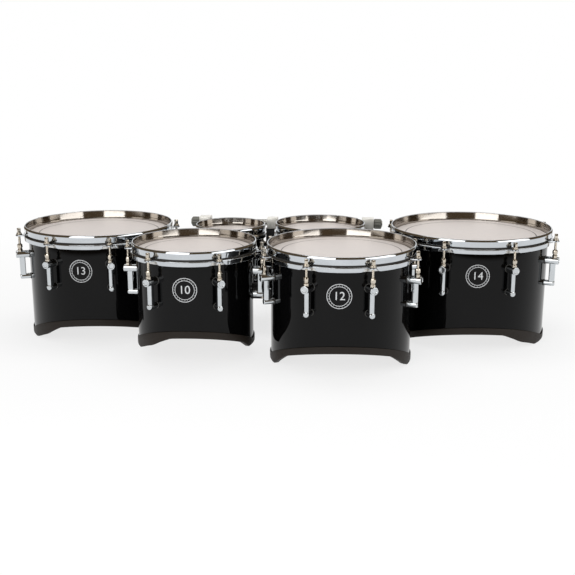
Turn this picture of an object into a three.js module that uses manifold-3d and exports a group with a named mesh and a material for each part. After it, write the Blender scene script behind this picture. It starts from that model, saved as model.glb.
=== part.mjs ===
// Marching tenor drums: six single-headed drums in an arc, joined by one frame.
// Units are millimetres. +Z is up and -Y is the side that faces the audience.
// A bearing is an angle about a drum's axis, from -Y towards +X.

import * as THREE from 'three';
import { mergeVertices } from 'three/addons/utils/BufferGeometryUtils.js';
import Module from 'manifold-3d';

const wasm = await Module();
wasm.setup();

// Driving dimensions of the whole set
const fit = 0.3; // air between two pieces that touch
const cutOverrun = 2; // how far a cutting shape runs past what it cuts
const rimHeight = 257; // floor to the top of the large drums' hoops
const smallRimDrop = 11; // the small drums' hoops lie this much lower
const tenDrumLift = 29; // the ten-inch drum hangs this far clear of the floor
const smallDrumShare = 0.65; // the small drums' height, as a share of the large drums'

// Shell diameters
const sixDiameter = 152.4;
const eightDiameter = 203.2;
const tenDiameter = 254;
const twelveDiameter = 304.8;
const thirteenDiameter = 330.2;
const fourteenDiameter = 355.6;

// Free space between neighbouring shells
const gapTenTwelve = 40.6;
const gapTenThirteen = 31.7;
const gapTwelveFourteen = 41.7;
const bearingTenThirteen = THREE.MathUtils.degToRad(-125.7);
const bearingTwelveFourteen = THREE.MathUtils.degToRad(126.7);
const sixAcross = 44; // the six-inch drum's centre, to the right of the ten-inch drum's
const eightAcross = 59; // the eight-inch drum's centre, to the left of the twelve-inch drum's
const thirteenClocking = THREE.MathUtils.degToRad(-0.3);

// Shell and rubber edge guard
const shellWall = 6;
const guardLip = 2.6; // rubber on each side of the shell wall
const guardGrip = 8; // how deep the shell stands in the rubber
const guardAir = 0.4; // under the shell's slanted edge
const guardFrontHeight = 16; // rubber along the slanted cut
const guardSideHeight = 14; // rubber along the level edge at the back
const guardPlainHeight = 10.6; // straight guard on the small drums
const archTen = 0.162; // height of the cut at the front, as shares of the large drums' height
const archTwelve = 0.207;
const archThirteen = 0.182;
const archFourteen = 0.161;
const cutSlope = 0.43; // fall of the slanted cut for each millimetre from front to back
const cutBearing = THREE.MathUtils.degToRad(2.5); // where the cut is highest
const thirteenCutBearing = THREE.MathUtils.degToRad(7);
const footDepth = 12; // how far a rubber foot stands below the cut
const footSlope = 50; // length over which the rubber drops to a foot
const tenFeet = [-15, 60]; // bearings where the drop to a foot begins, left and right
const twelveFeet = [-47, 45];
const thirteenFeet = [-20, 62];
const fourteenFeet = [-62, 21];

// Head: membrane, collar and flesh hoop, measured down from the rim
const headDepth = 20;
const membrane = 0.6;
const collarClear = 0.5;
const collarWall = 0.9;
const fleshTop = 22.8;
const fleshHeight = 8;
const fleshWidth = 6.9;

// Hoop: wall, flange with ears, and down-turned skirt
const rimOut = 7.6; // outside of the rim, from the shell
const hoopMouth = 5.4; // inside of the wall at the rim, which leans out
const hoopIn = 3.6; // inside of the wall at its foot
const hoopWaist = 6.3;
const flangeTop = 20;
const flangeThick = 2.5;
const skirtOut = 11.2;
const skirtWall = 2.2;
const skirtBottom = 31;
const earWidth = 16;
const earSides = 4;
const earWindow = 26; // gap in the skirt at an ear

// Tension rod and swivel nut
const rodOut = 21; // rod axis, from the shell
const rodRadius = 3;
const rodHeadRadius = 5;
const rodHeadTop = 4;
const nutRadius = 6;
const nutTop = 41;
const nutFloor = 3; // below the end of its bore, above the stem
const rodSides = 6;

// Lug: two round stems and the post between them
const upperStemDrop = 66;
const upperStemRadius = 8.6;
const upperStemReach = 31;
const lowerStemDrop = 119;
const lowerStemRadius = 6.4;
const lowerStemReach = 24.5;
const postWidth = 10.5;
const postInside = 11;
const postOutside = 24;
const stemSides = 6;
const stemRoot = 2; // how far a stem reaches into the shell wall

// Spine that joins the six shells
const spineDepth = 20;
const spineHeight = 36;
const spineRise = 5; // the spine's underside, above the small drums' lower edge
const spineStandOff = 5; // behind the twelve-inch shell
const spineEndSpacer = 14;
const sixSpacer = 4.5;
const eightSpacer = 13;
const spacerWidth = 44;
const spacerHeight = 26;
const shellBoltRadius = 3;
const shellBoltPitch = 12; // between the two bolts of a drum
const boltHeadRadius = 6;
const boltHeadThick = 4;
const boltBite = 12; // how deep a bolt goes into what holds it
const boltSides = 6;

// Arm, rear bar and clamps for the carrier
const armWidth = 15;
const armHeight = 28;
const armAside = 8; // to the left of the middle between the small drums
const riserWidth = 34;
const riserDepth = 14;
const barRadius = 8;
const barDrop = 36.5; // bar axis below the rims
const barStandOff = 23; // bar axis behind the eight-inch shell
const barLeftReach = 213; // bar end, from the arm's middle
const barRightReach = 284;
const barSides = 16;
const centreClampWidth = 27;
const centreClampDepth = 30;
const centreClampHeight = 27;
const centreTongue = 28; // tongue below the centre clamp
const centreTongueThick = 6;
const sideClampLength = 30;
const sideClampDepth = 32;
const sideClampHeight = 30;
const knobLength = 20;
const knobRadius = 13;
const knobSetback = 2; // bar end past the knob
const knobFlutes = 10;
const fluteSides = 4;
const fluteRadius = 2.2;

const fullTurn = 2 * Math.PI;
const quarterTurn = Math.PI / 2;
const up = new THREE.Vector3(0, 0, 1);

// Finishes
const glossBlack = 0x0a0a0b;
const chromeTint = 0xd9dde2;
function finish(color, roughness, metalness) {
  return new THREE.MeshStandardMaterial({ color, roughness, metalness });
}
function glossWithChrome() {
  return new THREE.MeshStandardMaterial({ vertexColors: true, roughness: 0.12, metalness: 0 });
}
const chrome = () => finish(chromeTint, 0.08, 1);
const plated = () => finish(0xcdb998, 0.2, 1);
const rubber = () => finish(0x1d1614, 0.7, 0);
const film = () => finish(0xe1dad6, 0.45, 0);
const coated = () => finish(0x141416, 0.45, 0.6);
const moulded = () => finish(0x24231f, 0.5, 0.3);

// Merges shared corners and drops triangles with no area.
function closed(geometry) {
  geometry.deleteAttribute('normal');
  geometry.deleteAttribute('uv');
  const merged = mergeVertices(geometry);
  const corners = [];
  const index = merged.index.array;
  for (let first = 0; first < index.length; first += 3) {
    const [a, b, c] = [index[first], index[first + 1], index[first + 2]];
    if (a !== b && b !== c && c !== a) corners.push(a, b, c);
  }
  merged.setIndex(corners);
  return merged;
}

function solid(geometry) {
  const shape = closed(geometry);
  return new wasm.Manifold(new wasm.Mesh({
    numProp: 3,
    vertProperties: new Float32Array(shape.attributes.position.array),
    triVerts: new Uint32Array(shape.index.array),
  }));
}

function surface(body) {
  const { vertProperties, triVerts } = body.getMesh();
  const geometry = new THREE.BufferGeometry();
  geometry.setAttribute('position', new THREE.BufferAttribute(vertProperties, 3));
  geometry.setIndex(new THREE.BufferAttribute(triVerts, 1));
  return geometry;
}

function joined(body, geometries) {
  return geometries.map(solid).reduce((whole, piece) => whole.add(piece), body);
}

function without(body, geometries) {
  return geometries.map(solid).reduce((rest, tool) => rest.subtract(tool), body);
}

function mesh(name, geometry, material) {
  const node = new THREE.Mesh(geometry, material);
  node.name = name;
  return node;
}

// A solid turned about Z. Each corner is a radius and a height, and a height may be a
// function of the bearing.
function turned(corners, sides, firstBearing = 0) {
  const outline = corners.map(([radius], row) => new THREE.Vector2(radius, row));
  const geometry = new THREE.LatheGeometry(outline, sides, firstBearing);
  geometry.rotateX(quarterTurn);
  const { position } = geometry.attributes;
  for (let vertex = 0; vertex < position.count; vertex++) {
    const height = corners[vertex % corners.length][1];
    const column = Math.floor(vertex / corners.length) % sides;
    const bearing = firstBearing + fullTurn * column / sides;
    position.setZ(vertex, typeof height === 'function' ? height(bearing) : height);
  }
  return geometry;
}

function looped(corners) {
  return [...corners, corners[0]];
}

// A rod between two points, with flat ends.
function rod(from, to, radius, sides) {
  const geometry = new THREE.CylinderGeometry(radius, radius, from.distanceTo(to), sides);
  const along = new THREE.Vector3().subVectors(to, from).normalize();
  const turn = new THREE.Quaternion().setFromUnitVectors(new THREE.Vector3(0, 1, 0), along);
  geometry.applyQuaternion(turn);
  return geometry.translate(...new THREE.Vector3().addVectors(from, to).divideScalar(2));
}

// The radius of a many-sided hole that clears a round of the given radius at any turn
function cleared(radius, sides) {
  return (radius + fit) / Math.cos(Math.PI / sides);
}

// A box between two opposite corners.
function block(low, high) {
  const size = new THREE.Vector3().subVectors(high, low);
  const middle = new THREE.Vector3().addVectors(low, high).divideScalar(2);
  return new THREE.BoxGeometry(...size).translate(...middle);
}

function at(x, y, z) {
  return new THREE.Vector3(x, y, z);
}

// Heights of the drums that hang clear of the floor
const tenDrumHeight = rimHeight - tenDrumLift;
const smallDrumHeight = rimHeight * smallDrumShare;

// Where each drum stands
const ten = at(0, 0, rimHeight);
const twelve = at((tenDiameter + twelveDiameter) / 2 + gapTenTwelve, 0, rimHeight);
function beside(from, bearing, distance) {
  return at(
    from.x + distance * Math.sin(bearing),
    from.y - distance * Math.cos(bearing),
    from.z,
  );
}
const thirteen = beside(
  ten, bearingTenThirteen, (tenDiameter + thirteenDiameter) / 2 + gapTenThirteen,
);
const fourteen = beside(
  twelve, bearingTwelveFourteen, (twelveDiameter + fourteenDiameter) / 2 + gapTwelveFourteen,
);
const spineFront = twelve.y + twelveDiameter / 2 + spineStandOff;
const spineBack = spineFront + spineDepth;
const six = at(
  ten.x + sixAcross, spineBack + sixSpacer + sixDiameter / 2, rimHeight - smallRimDrop,
);
const eight = at(
  twelve.x - eightAcross, spineBack + eightSpacer + eightDiameter / 2, rimHeight - smallRimDrop,
);

const drums = [
  {
    name: 'tenor13', centre: thirteen, diameter: thirteenDiameter, height: rimHeight,
    lugs: 8, facetsPerLug: 3, archShare: archThirteen, clocking: thirteenClocking,
    cutBearing: thirteenCutBearing, feet: thirteenFeet,
  },
  {
    name: 'tenor10', centre: ten, diameter: tenDiameter, height: tenDrumHeight,
    lugs: 6, facetsPerLug: 4, archShare: archTen, clocking: 0,
    cutBearing, feet: tenFeet,
  },
  {
    name: 'tenor12', centre: twelve, diameter: twelveDiameter, height: rimHeight,
    lugs: 8, facetsPerLug: 3, archShare: archTwelve, clocking: 0,
    cutBearing, feet: twelveFeet,
  },
  {
    name: 'tenor14', centre: fourteen, diameter: fourteenDiameter, height: rimHeight,
    lugs: 8, facetsPerLug: 3, archShare: archFourteen, clocking: 0,
    cutBearing, feet: fourteenFeet,
  },
  {
    name: 'tenor6', centre: six, diameter: sixDiameter, height: smallDrumHeight,
    lugs: 4, facetsPerLug: 4, archShare: 0, clocking: 0,
  },
  {
    name: 'tenor8', centre: eight, diameter: eightDiameter, height: smallDrumHeight,
    lugs: 4, facetsPerLug: 5, archShare: 0, clocking: 0,
  },
];

// Sizes that follow from a drum's own row. A lug always stands on the middle of a facet.
for (const drum of drums) {
  drum.radius = drum.diameter / 2;
  drum.arch = drum.archShare * rimHeight;
  drum.facets = drum.lugs * drum.facetsPerLug;
  drum.lugBearings = [];
  for (let lug = 0; lug < drum.lugs; lug++) {
    drum.lugBearings.push((lug + 1 / 2) * fullTurn / drum.lugs);
  }
  drum.firstCorner = drum.lugBearings[0] + fullTurn / drum.facets / 2;
  drum.flatShare = Math.cos(Math.PI / drum.facets);
  drum.seat = drum.radius * drum.flatShare + fit;
}

// Heights around the bottom edge, measured from the rim
function slantedCut(drum, bearing) {
  return drum.arch - cutSlope * drum.radius * (1 - Math.cos(bearing - drum.cutBearing));
}

function guardTop(drum) {
  if (!drum.arch) return () => guardPlainHeight - drum.height;
  return (bearing) => {
    const alongCut = slantedCut(drum, bearing) + guardFrontHeight;
    return Math.max(alongCut, guardSideHeight) - drum.height;
  };
}

function guardBottom(drum) {
  if (!drum.arch) return () => -drum.height;
  const [left, right] = drum.feet.map((degrees) => THREE.MathUtils.degToRad(degrees));
  return (bearing) => {
    const turnedIn = Math.atan2(Math.sin(bearing), Math.cos(bearing));
    const past = Math.max(left - turnedIn, turnedIn - right, 0) * drum.radius;
    const foot = footDepth * Math.min(past / footSlope, 1);
    return Math.max(slantedCut(drum, bearing) - foot, 0) - drum.height;
  };
}

function shellBottom(drum) {
  const top = guardTop(drum);
  return (bearing) => top(bearing) - guardGrip;
}

// The shell with its lugs, in the drum's own frame
function shell(drum) {
  const top = -(headDepth + membrane + fit);
  const bottom = shellBottom(drum);
  const ring = turned(looped([
    [drum.radius, bottom],
    [drum.radius, top],
    [drum.radius - shellWall, top],
    [drum.radius - shellWall, bottom],
  ]), drum.facets, drum.firstCorner);
  const lugs = drum.lugBearings.flatMap(
    (bearing) => lug(drum).map((piece) => piece.rotateZ(bearing)),
  );
  return joined(solid(ring), lugs);
}

function edgeGuard(drum) {
  const top = guardTop(drum);
  const bottom = guardBottom(drum);
  const edge = shellBottom(drum);
  const floor = (bearing) => edge(bearing) - guardAir;
  const inside = drum.radius - shellWall;
  return closed(turned(looped([
    [drum.radius + guardLip, bottom],
    [drum.radius + guardLip, top],
    [drum.radius + fit, top],
    [drum.radius + fit, floor],
    [inside - fit, floor],
    [inside - fit, top],
    [inside - guardLip, top],
    [inside - guardLip, bottom],
  ]), drum.facets, drum.firstCorner));
}

function head(drum) {
  const collar = drum.radius + collarClear;
  return closed(turned([
    [0, -(headDepth + membrane)],
    [collar, -(headDepth + membrane)],
    [collar, -(fleshTop + fleshHeight)],
    [collar + fleshWidth, -(fleshTop + fleshHeight)],
    [collar + fleshWidth, -fleshTop],
    [collar + collarWall, -fleshTop],
    [collar + collarWall, -headDepth],
    [0, -headDepth],
  ], drum.facets, drum.firstCorner));
}

// One ear, pointing to the front
function ear(drum) {
  const start = drum.radius + hoopWaist;
  const end = drum.radius + rodOut;
  const outline = new THREE.Shape();
  outline.moveTo(earWidth / 2, -start);
  outline.lineTo(-earWidth / 2, -start);
  outline.lineTo(-earWidth / 2, -end);
  outline.absarc(0, -end, earWidth / 2, Math.PI, fullTurn, false);
  const flat = new THREE.ExtrudeGeometry(outline, {
    depth: flangeThick, bevelEnabled: false, curveSegments: earSides,
  });
  return flat.translate(0, 0, -(flangeTop + flangeThick));
}

// The hoop with its ears and the tension rods that pass through them
function hoop(drum) {
  const ring = turned(looped([
    [drum.radius + skirtOut - skirtWall, -skirtBottom],
    [drum.radius + skirtOut, -skirtBottom],
    [drum.radius + skirtOut, -flangeTop],
    [drum.radius + hoopWaist, -flangeTop],
    [drum.radius + rimOut, 0],
    [drum.radius + hoopMouth, 0],
    [drum.radius + hoopIn, -(flangeTop + flangeThick)],
    [drum.radius + skirtOut - skirtWall, -(flangeTop + flangeThick)],
  ]), drum.facets, drum.firstCorner);
  const windows = [];
  const added = [];
  for (const bearing of drum.lugBearings) {
    const window = block(
      at(-earWindow / 2, -(drum.radius + skirtOut + cutOverrun), -(skirtBottom + cutOverrun)),
      at(earWindow / 2, -(drum.seat + hoopWaist), -(flangeTop + flangeThick)),
    );
    windows.push(window.rotateZ(bearing));
    added.push(ear(drum).rotateZ(bearing), tensionRod(drum).rotateZ(bearing));
  }
  return surface(joined(without(solid(ring), windows), added));
}

function tensionRod(drum) {
  const bottom = nutBoreEnd + fit;
  return turned([
    [0, bottom],
    [rodRadius, bottom],
    [rodRadius, -flangeTop],
    [rodHeadRadius, -flangeTop],
    [rodHeadRadius, -rodHeadTop],
    [0, -rodHeadTop],
  ], rodSides).translate(0, -(drum.radius + rodOut), 0);
}

// One lug with its swivel nut, pointing to the front. Its stems are let into the shell.
const nutBottom = -(upperStemDrop - upperStemRadius / 2);
const nutBoreEnd = -(upperStemDrop - upperStemRadius - nutFloor);
function lug(drum) {
  const root = -(drum.seat - stemRoot);
  const upper = rod(
    at(0, root, -upperStemDrop), at(0, -(drum.radius + upperStemReach), -upperStemDrop),
    upperStemRadius, stemSides,
  );
  const lower = rod(
    at(0, root, -lowerStemDrop), at(0, -(drum.radius + lowerStemReach), -lowerStemDrop),
    lowerStemRadius, stemSides,
  );
  const post = block(
    at(-postWidth / 2, -(drum.radius + postOutside), -lowerStemDrop),
    at(postWidth / 2, -(drum.radius + postInside), -upperStemDrop),
  );
  const bore = cleared(rodRadius, rodSides);
  const nut = turned([
    [0, nutBottom],
    [nutRadius, nutBottom],
    [nutRadius, -nutTop],
    [bore, -nutTop],
    [bore, nutBoreEnd],
    [0, nutBoreEnd],
  ], rodSides).translate(0, -(drum.radius + rodOut), 0);
  return [upper, lower, post, nut];
}

// Chrome on what stands off the shell, black on the shell itself
function painted(geometry, drum) {
  const { position } = geometry.attributes;
  const black = new THREE.Color(glossBlack);
  const bright = new THREE.Color(chromeTint);
  const colours = [];
  for (let vertex = 0; vertex < position.count; vertex++) {
    const outward = Math.hypot(position.getX(vertex), position.getY(vertex));
    const colour = outward > drum.radius + fit ? bright : black;
    colours.push(colour.r, colour.g, colour.b);
  }
  geometry.setAttribute('color', new THREE.Float32BufferAttribute(colours, 3));
  return geometry;
}

// Spacers stand between the spine and each shell, and the shell bolts pass through them.
const spineBottom = rimHeight - smallRimDrop - smallDrumHeight + spineRise;
const spineTop = spineBottom + spineHeight;
const spacerBottom = spineTop - spacerHeight;
const boltHeights = [
  (spineTop + spacerBottom - shellBoltPitch) / 2,
  (spineTop + spacerBottom + shellBoltPitch) / 2,
];
const spineMiddle = (spineFront + spineBack) / 2;

function sideSurface(drum, side) {
  const offset = spineMiddle - drum.centre.y;
  return drum.centre.x + side * Math.sqrt(drum.radius ** 2 - offset ** 2);
}
const drumNamed = (name) => drums.find((drum) => drum.name === name);
const spineLeft = sideSurface(drumNamed('tenor13'), 1) + spineEndSpacer;
const spineRight = sideSurface(drumNamed('tenor14'), -1) - spineEndSpacer;

// For each drum: the point on its axis, the direction to the spine and the spine's face
const links = [
  { drum: drumNamed('tenor13'), towards: at(1, 0, 0), face: spineLeft },
  { drum: drumNamed('tenor10'), towards: at(0, 1, 0), face: spineFront },
  { drum: drumNamed('tenor12'), towards: at(0, 1, 0), face: spineFront },
  { drum: drumNamed('tenor14'), towards: at(-1, 0, 0), face: -spineRight },
  { drum: drumNamed('tenor6'), towards: at(0, -1, 0), face: -spineBack },
  { drum: drumNamed('tenor8'), towards: at(0, -1, 0), face: -spineBack },
];
for (const link of links) {
  const { centre } = link.drum;
  const across = link.towards.x !== 0;
  link.start = at(centre.x, across ? spineMiddle : centre.y, 0);
  link.startAlong = link.start.dot(link.towards);
  link.halfWidth = across ? spineDepth / 2 : spacerWidth / 2;
  const aside = across ? spineMiddle - centre.y : 0;
  const inner = (link.drum.radius - shellWall) * link.drum.flatShare;
  link.innerWall = Math.sqrt(inner ** 2 - (Math.abs(aside) + boltHeadRadius) ** 2);
  if (!across) link.innerWall = inner;
}

// The point of a link that lies a given way along it, aside of it and above the floor
function linkPoint(link, along, aside, height) {
  const side = new THREE.Vector3().crossVectors(up, link.towards);
  return link.start.clone()
    .addScaledVector(link.towards, along)
    .addScaledVector(side, aside)
    .setZ(height);
}

function spacer(link) {
  const reach = link.face - link.startAlong - fit;
  const low = linkPoint(link, link.innerWall / 2, -link.halfWidth, spacerBottom);
  const high = linkPoint(link, reach, link.halfWidth, spineTop);
  const corners = new THREE.Box3().setFromPoints([low, high]);
  const around = (link.drum.radius * link.drum.flatShare + fit) / link.drum.flatShare;
  const core = turned([
    [0, spacerBottom - cutOverrun],
    [around, spacerBottom - cutOverrun],
    [around, spineTop + cutOverrun],
    [0, spineTop + cutOverrun],
  ], link.drum.facets, link.drum.firstCorner + link.drum.clocking);
  core.translate(link.drum.centre.x, link.drum.centre.y, 0);
  return surface(without(solid(block(corners.min, corners.max)), [core, ...boltHoles(link)]));
}

function boltHoles(link) {
  const end = link.face - link.startAlong + boltBite + fit;
  return boltHeights.map((height) => rod(
    linkPoint(link, link.innerWall / 2, 0, height), linkPoint(link, end, 0, height),
    cleared(shellBoltRadius, boltSides), boltSides,
  ));
}

// One bolt head and shank, from inside the shell into the spine
function shellBolt(link, height) {
  const seat = link.innerWall - fit;
  const end = link.face - link.startAlong + boltBite;
  const bolt = turned([
    [0, -end],
    [shellBoltRadius, -end],
    [shellBoltRadius, -seat],
    [boltHeadRadius, -seat],
    [boltHeadRadius, -(seat - boltHeadThick)],
    [0, -(seat - boltHeadThick)],
  ], boltSides);
  const turn = new THREE.Quaternion().setFromUnitVectors(at(0, 0, -1), link.towards);
  bolt.applyQuaternion(turn);
  return closed(bolt.translate(link.start.x, link.start.y, height));
}

function spine() {
  const bar = solid(block(
    at(spineLeft, spineFront, spineBottom), at(spineRight, spineBack, spineTop),
  ));
  return surface(without(bar, [...links.flatMap(boltHoles), ...armBoltHoles()]));
}

// Carrier arm: a level leg from the spine, and a riser behind the small drums
const shellGapMiddle = (six.x + sixDiameter / 2 + eight.x - eightDiameter / 2) / 2;
const armMiddle = shellGapMiddle - armAside;
const armBack = eight.y + eightDiameter / 2 + barStandOff + riserDepth / 2;
const barAxis = at(armMiddle, armBack - riserDepth / 2, rimHeight - barDrop);
const riserTop = barAxis.z - centreClampHeight / 2 - fit;
const armBoltHeights = [
  spineBottom + armHeight / 2 - shellBoltPitch / 2,
  spineBottom + armHeight / 2 + shellBoltPitch / 2,
];
const tongueBoltHeights = [
  riserTop - centreTongue / 2 - shellBoltPitch / 2,
  riserTop - centreTongue / 2 + shellBoltPitch / 2,
];

function armBoltHoles() {
  return armBoltHeights.map((height) => rod(
    at(armMiddle, spineFront - cutOverrun, height),
    at(armMiddle, spineBack + boltBite + fit, height), cleared(shellBoltRadius, boltSides), boltSides,
  ));
}

function tongueBoltHoles() {
  return tongueBoltHeights.map((height) => rod(
    at(armMiddle, armBack + centreTongueThick + cutOverrun, height),
    at(armMiddle, armBack - riserDepth / 2 - fit, height), cleared(shellBoltRadius, boltSides), boltSides,
  ));
}

function carrierArm() {
  const leg = block(
    at(armMiddle - armWidth / 2, spineBack + fit, spineBottom),
    at(armMiddle + armWidth / 2, armBack, spineBottom + armHeight),
  );
  const riser = block(
    at(armMiddle - riserWidth / 2, armBack - riserDepth, spineBottom),
    at(armMiddle + riserWidth / 2, armBack, riserTop),
  );
  return surface(without(joined(solid(leg), [riser]), [...armBoltHoles(), ...tongueBoltHoles()]));
}

function barHole() {
  const past = barRightReach + cutOverrun;
  return rod(
    barAxis.clone().setX(armMiddle - past), barAxis.clone().setX(armMiddle + past),
    cleared(barRadius, barSides), barSides,
  );
}

function centreClamp() {
  const halfWidth = centreClampWidth / 2;
  const body = block(
    at(armMiddle - halfWidth, barAxis.y - centreClampDepth / 2, barAxis.z - centreClampHeight / 2),
    at(armMiddle + halfWidth, barAxis.y + centreClampDepth / 2, barAxis.z + centreClampHeight / 2),
  );
  const tongue = block(
    at(armMiddle - armWidth / 2, armBack + fit, riserTop - centreTongue),
    at(armMiddle + armWidth / 2, armBack + fit + centreTongueThick, barAxis.z - barRadius - fit),
  );
  return surface(without(joined(solid(body), [tongue]), [barHole(), ...tongueBoltHoles()]));
}

function frameBolt(headFace, towards, length) {
  const bolt = turned([
    [0, -length],
    [shellBoltRadius, -length],
    [shellBoltRadius, 0],
    [boltHeadRadius, 0],
    [boltHeadRadius, boltHeadThick],
    [0, boltHeadThick],
  ], boltSides);
  bolt.applyQuaternion(new THREE.Quaternion().setFromUnitVectors(at(0, 0, -1), towards));
  return closed(bolt.translate(...headFace));
}

function armBolt(height) {
  return frameBolt(at(armMiddle, spineFront - fit, height), at(0, 1, 0), spineDepth + boltBite);
}

function clampBolt(height) {
  const face = at(armMiddle, armBack + centreTongueThick + 2 * fit, height);
  return frameBolt(face, at(0, -1, 0), centreTongueThick + riserDepth / 2);
}

const barLeftEnd = armMiddle - barLeftReach;
const barRightEnd = armMiddle + barRightReach;

function rearBar() {
  return closed(rod(
    barAxis.clone().setX(barLeftEnd), barAxis.clone().setX(barRightEnd), barRadius, barSides,
  ));
}

// A side clamp and its knob stand at one end of the bar. Side is -1 at the left.
function knobSpan(side) {
  const end = side < 0 ? barLeftEnd : barRightEnd;
  const outer = end - side * knobSetback;
  return [outer - side * knobLength, outer];
}

function sideClamp(side) {
  const [start] = knobSpan(side);
  const near = start - side * fit;
  const far = near - side * sideClampLength;
  const corners = new THREE.Box3().setFromPoints([
    at(near, barAxis.y - sideClampDepth / 2, barAxis.z - sideClampHeight / 2),
    at(far, barAxis.y + sideClampDepth / 2, barAxis.z + sideClampHeight / 2),
  ]);
  return surface(without(solid(block(corners.min, corners.max)), [barHole()]));
}

function knob(side) {
  const [start, outer] = knobSpan(side);
  const from = barAxis.clone().setX(start);
  const to = barAxis.clone().setX(outer);
  const flutes = [];
  for (let flute = 0; flute < knobFlutes; flute++) {
    const angle = flute * fullTurn / knobFlutes;
    const aside = at(0, knobRadius * Math.cos(angle), knobRadius * Math.sin(angle));
    const past = at(side * cutOverrun, 0, 0);
    flutes.push(rod(
      from.clone().add(aside).sub(past), to.clone().add(aside).add(past),
      fluteRadius, fluteSides,
    ));
  }
  const drumOfKnob = solid(rod(from, to, knobRadius, 2 * knobFlutes));
  return surface(without(drumOfKnob, [barHole(), ...flutes]));
}

// The whole set
const tenorSet = new THREE.Group();
for (const link of links) {
  const { drum } = link;
  const group = new THREE.Group();
  group.position.copy(drum.centre);
  group.rotation.z = drum.clocking;
  const bored = without(shell(drum), boltHoles(link).map((hole) => hole
    .translate(-drum.centre.x, -drum.centre.y, -drum.centre.z)
    .rotateZ(-drum.clocking)));
  group.add(
    mesh(`${drum.name}_shell`, painted(surface(bored), drum), glossWithChrome()),
    mesh(`${drum.name}_edge_guard`, edgeGuard(drum), rubber()),
    mesh(`${drum.name}_head`, head(drum), film()),
    mesh(`${drum.name}_hoop`, hoop(drum), chrome()),
  );
  tenorSet.add(
    group,
    mesh(`${drum.name}_spacer`, spacer(link), coated()),
    mesh(`${drum.name}_bolt_lower`, shellBolt(link, boltHeights[0]), plated()),
    mesh(`${drum.name}_bolt_upper`, shellBolt(link, boltHeights[1]), plated()),
  );
}

tenorSet.add(
  mesh('spine', spine(), coated()),
  mesh('carrier_arm', carrierArm(), coated()),
  mesh('arm_bolt_lower', armBolt(armBoltHeights[0]), plated()),
  mesh('arm_bolt_upper', armBolt(armBoltHeights[1]), plated()),
  mesh('centre_clamp', centreClamp(), plated()),
  mesh('clamp_bolt_lower', clampBolt(tongueBoltHeights[0]), plated()),
  mesh('clamp_bolt_upper', clampBolt(tongueBoltHeights[1]), plated()),
  mesh('rear_bar', rearBar(), chrome()),
  mesh('side_clamp_left', sideClamp(-1), plated()),
  mesh('side_clamp_right', sideClamp(1), plated()),
  mesh('clamp_knob_left', knob(-1), moulded()),
  mesh('clamp_knob_right', knob(1), moulded()),
);

// The origin is the middle of the set on the floor.
const group = new THREE.Group();
group.add(tenorSet);
const extent = new THREE.Box3().setFromObject(tenorSet);
const middle = extent.getCenter(new THREE.Vector3());
tenorSet.position.set(-middle.x, -middle.y, -extent.min.z);

export default group;
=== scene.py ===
"""Looks of a set of marching tenor drums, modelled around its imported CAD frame.

Lengths are in metres. +Z is up and -Y is the side that faces the audience. A bearing is an
angle about a drum's axis, from -Y towards +X.
"""

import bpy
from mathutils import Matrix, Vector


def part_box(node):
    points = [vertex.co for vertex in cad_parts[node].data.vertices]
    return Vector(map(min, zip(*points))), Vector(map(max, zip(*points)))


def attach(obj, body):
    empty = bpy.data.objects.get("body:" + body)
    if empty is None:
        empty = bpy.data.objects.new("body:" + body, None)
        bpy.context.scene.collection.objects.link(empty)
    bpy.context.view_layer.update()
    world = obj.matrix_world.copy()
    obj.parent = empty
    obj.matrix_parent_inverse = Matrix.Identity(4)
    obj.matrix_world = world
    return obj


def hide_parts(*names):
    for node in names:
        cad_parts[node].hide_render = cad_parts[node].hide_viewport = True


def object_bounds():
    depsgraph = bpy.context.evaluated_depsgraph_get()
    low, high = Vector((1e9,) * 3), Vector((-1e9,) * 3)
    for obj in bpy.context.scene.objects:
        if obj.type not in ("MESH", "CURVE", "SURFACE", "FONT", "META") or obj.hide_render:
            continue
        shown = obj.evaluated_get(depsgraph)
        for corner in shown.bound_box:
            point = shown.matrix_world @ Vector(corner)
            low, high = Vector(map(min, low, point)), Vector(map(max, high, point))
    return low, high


bl_info = {
    "name": "Marching Tenor Drums",
    "version": (1, 0, 0),
    "blender": (4, 5, 0),
    "location": "View3D > Sidebar > Tenor Drums",
    "description": "Models a set of marching tenor drums around its CAD frame",
    "category": "Add Mesh",
}

import math

import bmesh
import bpy
from bpy.props import FloatProperty, FloatVectorProperty, IntProperty, PointerProperty
from mathutils import Matrix, Vector

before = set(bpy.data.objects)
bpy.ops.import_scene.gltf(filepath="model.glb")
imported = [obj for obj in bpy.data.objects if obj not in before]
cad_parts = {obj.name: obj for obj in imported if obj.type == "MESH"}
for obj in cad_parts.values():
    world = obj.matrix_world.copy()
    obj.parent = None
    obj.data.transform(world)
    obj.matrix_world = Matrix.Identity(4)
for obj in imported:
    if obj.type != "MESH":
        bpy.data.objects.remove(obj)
cad_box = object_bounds()

MM = 0.001
INCH = 0.0254
MERGE = 1e-6
ROUND_STEPS = 40

# Lower edges of the drums
CUT_SLOPE = 0.43
GUARD_ABOVE_CUT = 16 * MM
GUARD_LEAST = 14 * MM
GUARD_LEVEL = 10.6 * MM
FOOT_DEPTH = 12 * MM
FOOT_RUN = 50 * MM

# Name, diameter in inches, lugs, turn in degrees. Then the slanted lower edge: its height at the
# front as a share of the rim height, the bearing where it is highest, and those of its feet.
DRUM_ROWS = (
    ("tenor13", 13, 8, -0.3, 0.182, 7, (-20, 62)),
    ("tenor10", 10, 6, 0, 0.162, 2.5, (-15, 60)),
    ("tenor12", 12, 8, 0, 0.207, 2.5, (-47, 45)),
    ("tenor14", 14, 8, 0, 0.161, 2.5, (-62, 21)),
    ("tenor6", 6, 4, 0, 0, 0, (0, 0)),
    ("tenor8", 8, 4, 0, 0, 0, (0, 0)),
)


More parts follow.
